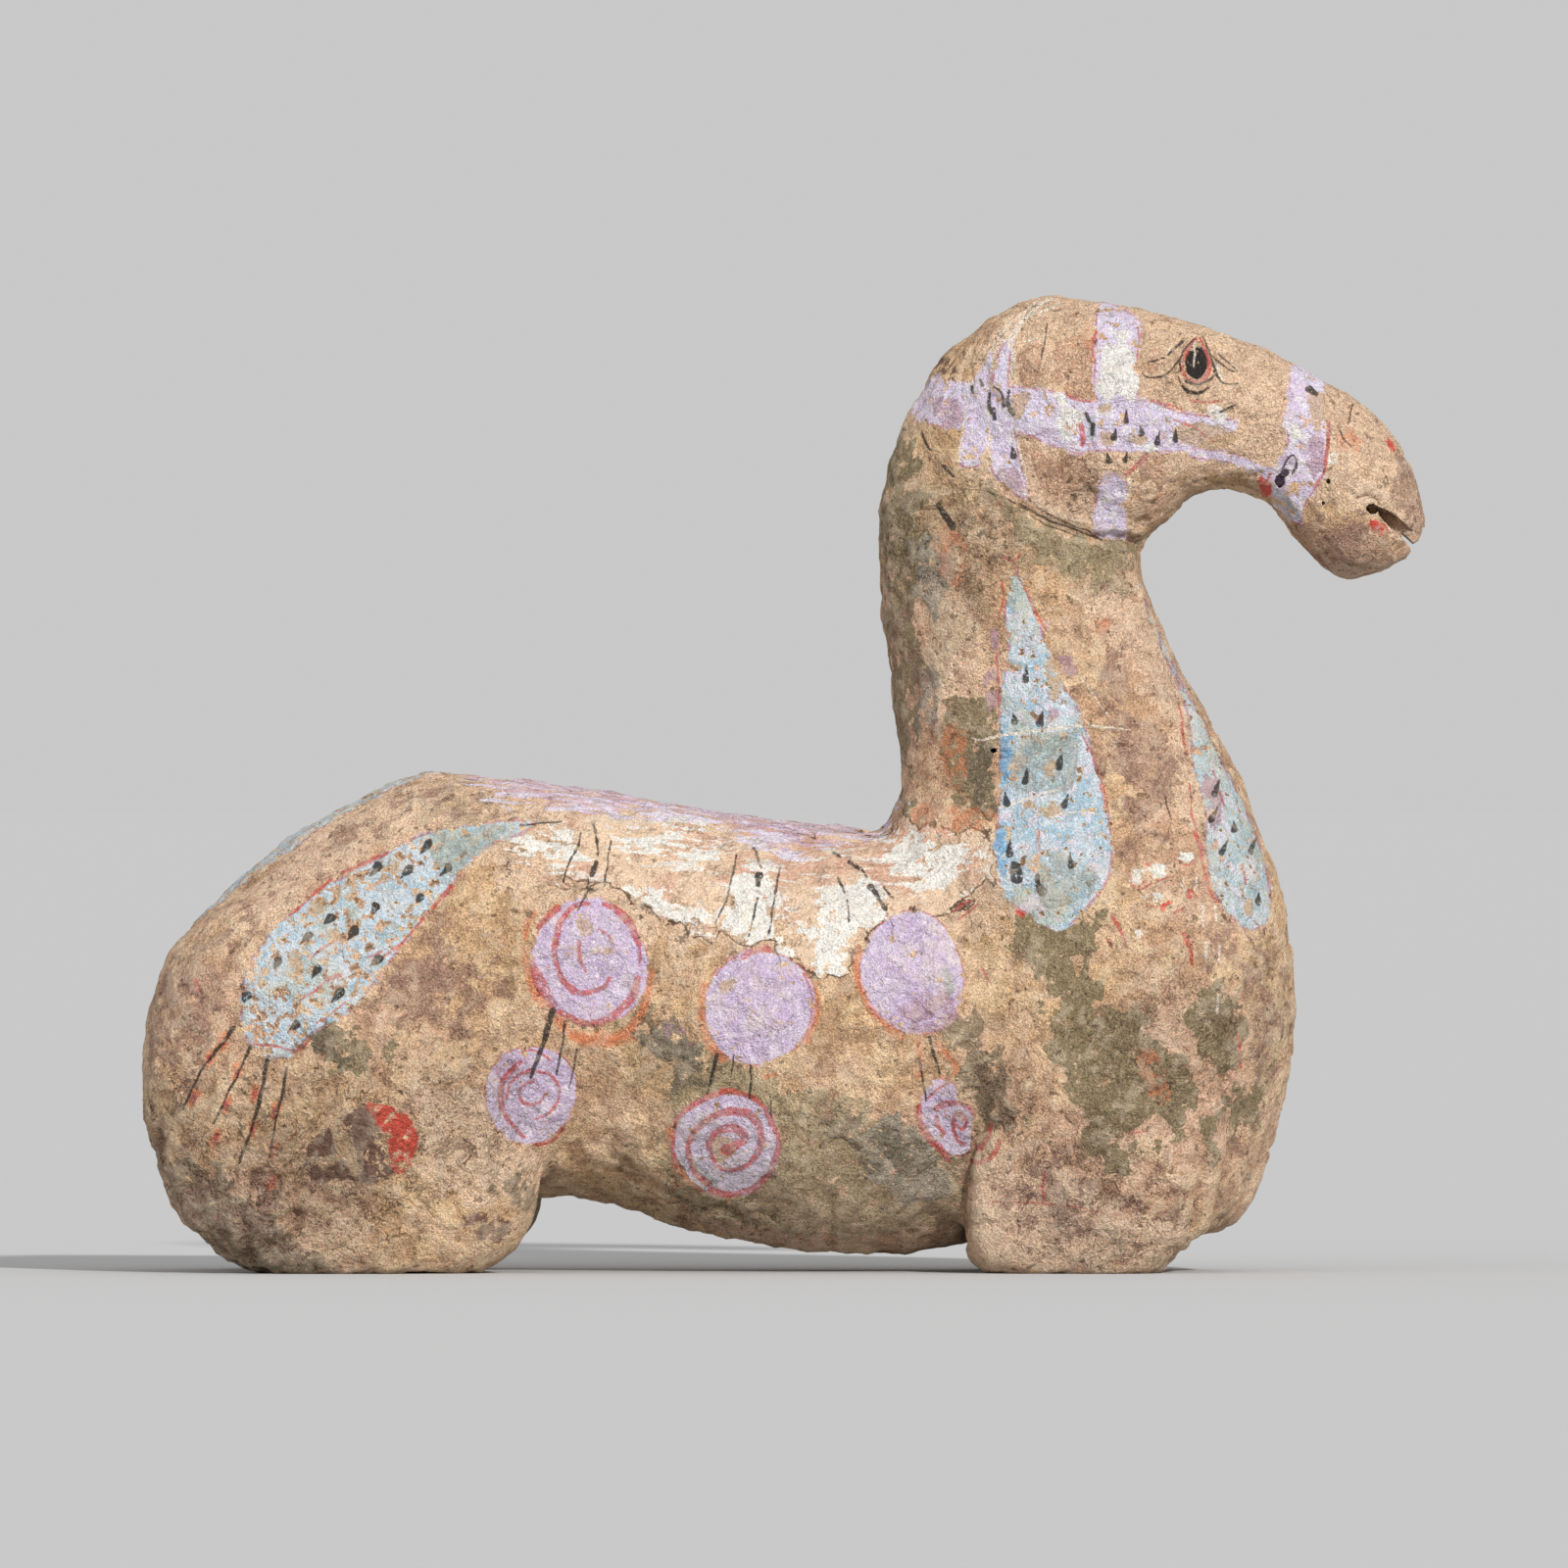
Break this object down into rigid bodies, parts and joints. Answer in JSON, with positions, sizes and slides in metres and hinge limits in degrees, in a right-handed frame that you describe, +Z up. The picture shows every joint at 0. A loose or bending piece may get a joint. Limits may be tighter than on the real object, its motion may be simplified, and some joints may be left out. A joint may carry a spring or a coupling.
{
  "type": "pottery horse figure",
  "caption": "Painted pottery horse with a tall arched neck, drooping head and short flat-cut leg stumps; stands by its own weight.",
  "frame": {"origin": "centre of the box's underside, on the surface that the stumps rest on", "axes": "+X along the body towards the muzzle, +Y across to the horse's left, +Z up"},
  "size_m": [0.6, 0.1765, 0.457],
  "materials": {
    "painted_pottery": "unglazed buff earthenware with worn, flaking cold-painted colours"
  },
  "bodies": {
    "root": {"pottery_horse": "painted_pottery"}
  },
  "joints": []
}
